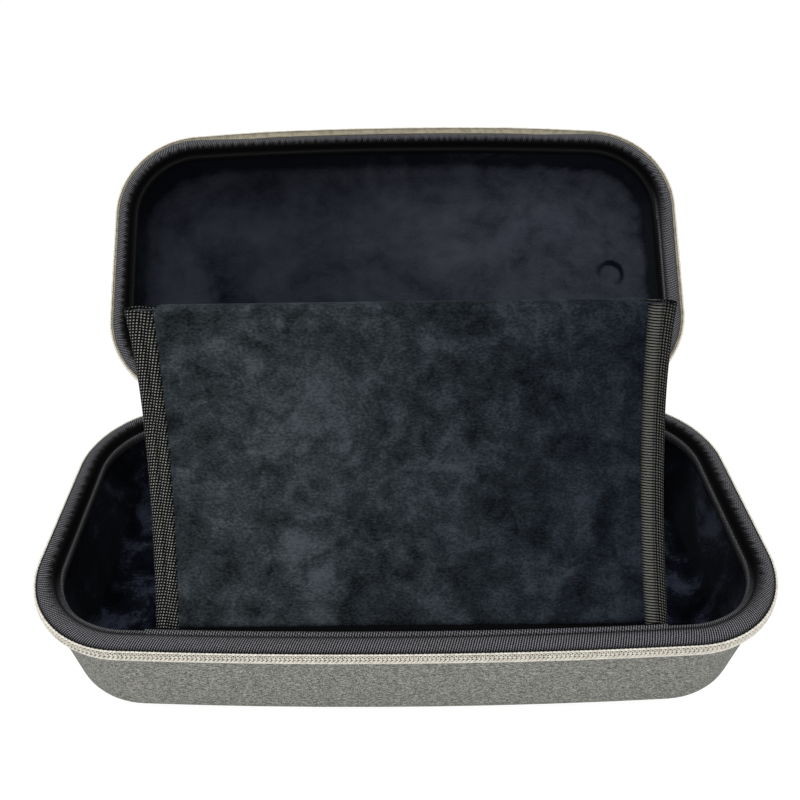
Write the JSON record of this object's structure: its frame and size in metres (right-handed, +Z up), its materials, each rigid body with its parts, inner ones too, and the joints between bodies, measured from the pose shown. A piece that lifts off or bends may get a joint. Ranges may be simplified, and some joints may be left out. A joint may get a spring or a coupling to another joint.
{
  "type": "portable game console case",
  "caption": "Open zip-around clamshell case for a handheld game console, with moulded base and lid, plush lining, ribbed rim tape and a padded divider flap.",
  "frame": {"origin": "middle of the base's flat underside", "axes": "+X along the case's long side, -Y the front with the flap's seam, +Y the hinged back, +Z up"},
  "size_m": [0.3098, 0.2863, 0.1609],
  "materials": {
    "shell_fabric": "grey heather weave",
    "lining_plush": "navy-black plush",
    "binding_tape": "ribbed charcoal tape",
    "hinge_fabric": "woven charcoal strip",
    "zip_tape": "cream zip tape",
    "zip_coil": "cream nylon coil",
    "flap_plush": "charcoal plush",
    "flap_board": "plain board",
    "flap_webbing": "ribbed webbing",
    "zip_metal": "cream enamel"
  },
  "bodies": {
    "base": {"base_shell": "shell_fabric", "base_lining": "lining_plush", "base_binding": "binding_tape", "base_zip_tape": "zip_tape", "base_zip_coil": "zip_coil", "hinge_strip": "hinge_fabric", "flap_seam_tape": "binding_tape", "zip_slider_left": "zip_metal", "zip_slider_right": "zip_metal"},
    "lid": {"lid_shell": "shell_fabric", "lid_lining": "lining_plush", "lid_binding": "binding_tape", "lid_zip_tape": "zip_tape", "lid_zip_coil": "zip_coil"},
    "flap": {"flap_cover": "flap_plush", "flap_board": "flap_board", "flap_binding_left": "flap_webbing", "flap_binding_right": "flap_webbing"},
    "pull_left": {"zip_pull_left": "zip_metal"},
    "pull_right": {"zip_pull_right": "zip_metal"}
  },
  "joints": [
    {"name": "lid_hinge", "type": "hinge", "parent": "base", "child": "lid", "pos_m": [0, 0.0785, 0.056], "axis": [-1, 0, 0], "range_deg": [-139, 41], "deforming": ["hinge_strip"]},
    {"name": "flap_hinge", "type": "hinge", "parent": "base", "child": "flap", "pos_m": [0, -0.06216, 0.051], "axis": [-1, 0, 0], "range_deg": [-18, 61], "deforming": ["flap_seam_tape"]},
    {"name": "pull_left_swing", "type": "hinge", "parent": "base", "child": "pull_left", "pos_m": [-0.0965, 0.07955, 0.052], "axis": [0, 1, 0], "range_deg": [-60, 60]},
    {"name": "pull_right_swing", "type": "hinge", "parent": "base", "child": "pull_right", "pos_m": [0.0965, 0.07955, 0.052], "axis": [0, 1, 0], "range_deg": [-60, 60]}
  ],
  "couplings": [
    {"joint": "flap_hinge", "follows": "lid_hinge", "ratio": -0.4388}
  ]
}
